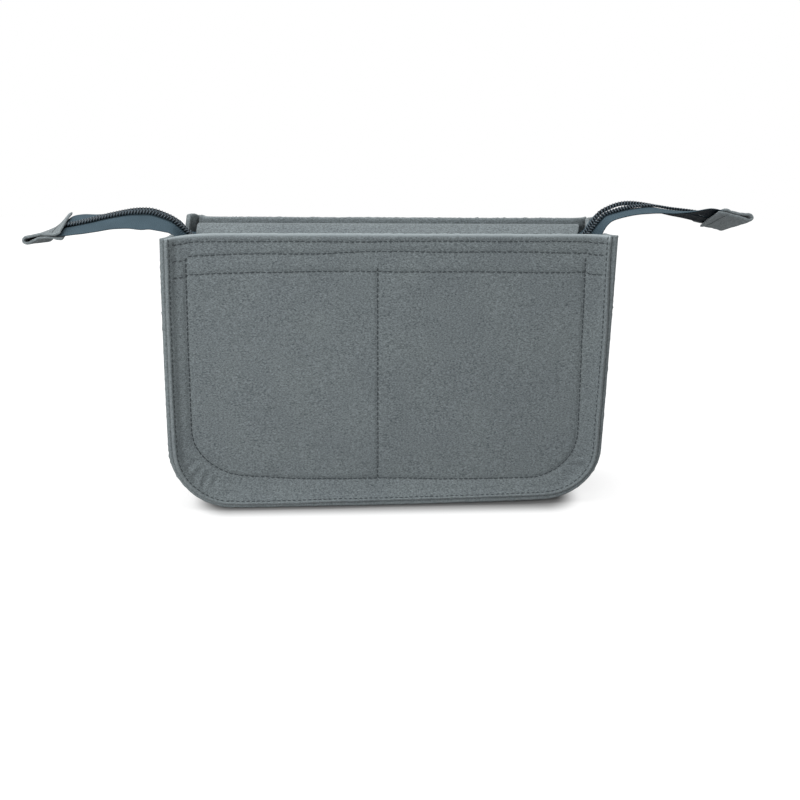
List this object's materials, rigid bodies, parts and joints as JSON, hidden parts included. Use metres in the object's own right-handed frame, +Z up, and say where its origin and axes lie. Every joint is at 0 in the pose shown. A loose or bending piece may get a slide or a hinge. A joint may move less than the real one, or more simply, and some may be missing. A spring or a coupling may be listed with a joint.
{
  "type": "purse organizer insert",
  "caption": "Felt organizer insert for a handbag: upright box with rounded lower corners, inner slip pockets and a coil zip top whose tape runs out past both ends into felt end tabs.",
  "frame": {"origin": "middle of the whole part's footprint, on the surface that the lower seam edges stand on", "axes": "+X along the zip towards the open end of the chain, +Y from the front panel to the back panel, +Z up"},
  "size_m": [0.3733, 0.0566, 0.1625],
  "materials": {
    "felt": "matte grey pressed felt",
    "zip_tape": "woven twill tape",
    "zip_coil": "satin nylon",
    "gilt_metal": "polished pale gold plate",
    "thread": "spun sewing thread"
  },
  "bodies": {
    "insert": {"front_panel": "felt", "front_pocket": "felt", "front_zip_flap": "felt", "back_panel": "felt", "back_pocket": "felt", "back_zip_flap": "felt", "gusset": "felt", "front_tape": "zip_tape", "back_tape": "zip_tape", "front_coil": "zip_coil", "back_coil": "zip_coil", "front_edge_seam": "thread", "front_pocket_seam": "thread", "front_zip_seam": "thread", "front_rim_seam_top": "thread", "front_rim_seam_middle": "thread", "front_rim_seam_low": "thread", "back_edge_seam": "thread", "back_pocket_seam": "thread", "back_zip_seam": "thread", "back_rim_seam_top": "thread", "back_rim_seam_middle": "thread", "back_rim_seam_low": "thread", "front_divider_seam": "thread"},
    "slider": {"slider_body": "gilt_metal", "slider_crown": "gilt_metal"},
    "pull": {"pull_tab": "gilt_metal"},
    "left_tail": {"left_end_tab": "felt", "left_tab_seam": "thread", "left_tail_front_tape": "zip_tape", "left_tail_front_coil": "zip_coil", "left_tail_back_tape": "zip_tape", "left_tail_back_coil": "zip_coil"},
    "right_tail": {"right_end_tab": "felt", "right_tab_seam": "thread", "right_tail_front_tape": "zip_tape", "right_tail_front_coil": "zip_coil", "right_tail_back_tape": "zip_tape", "right_tail_back_coil": "zip_coil"}
  },
  "joints": [
    {"name": "slider_travel", "type": "slide", "parent": "insert", "child": "slider", "axis": [1, 0, 0], "range_m": [-0.096, 0.05], "deforming": ["front_coil", "back_coil"]},
    {"name": "pull_swing", "type": "hinge", "parent": "slider", "child": "pull", "pos_m": [0.028, 0, 0.14225], "axis": [0, 1, 0], "range_deg": [0, 160]},
    {"name": "left_tail_flex", "type": "hinge", "parent": "insert", "child": "left_tail", "pos_m": [-0.1125, 0, 0.1507], "axis": [0, 1, 0], "range_deg": [-60, 60], "stiffness_Nm_per_rad": 0.05},
    {"name": "right_tail_flex", "type": "hinge", "parent": "insert", "child": "right_tail", "pos_m": [0.1125, 0, 0.1541], "axis": [0, -1, 0], "range_deg": [-60, 60], "stiffness_Nm_per_rad": 0.05}
  ]
}
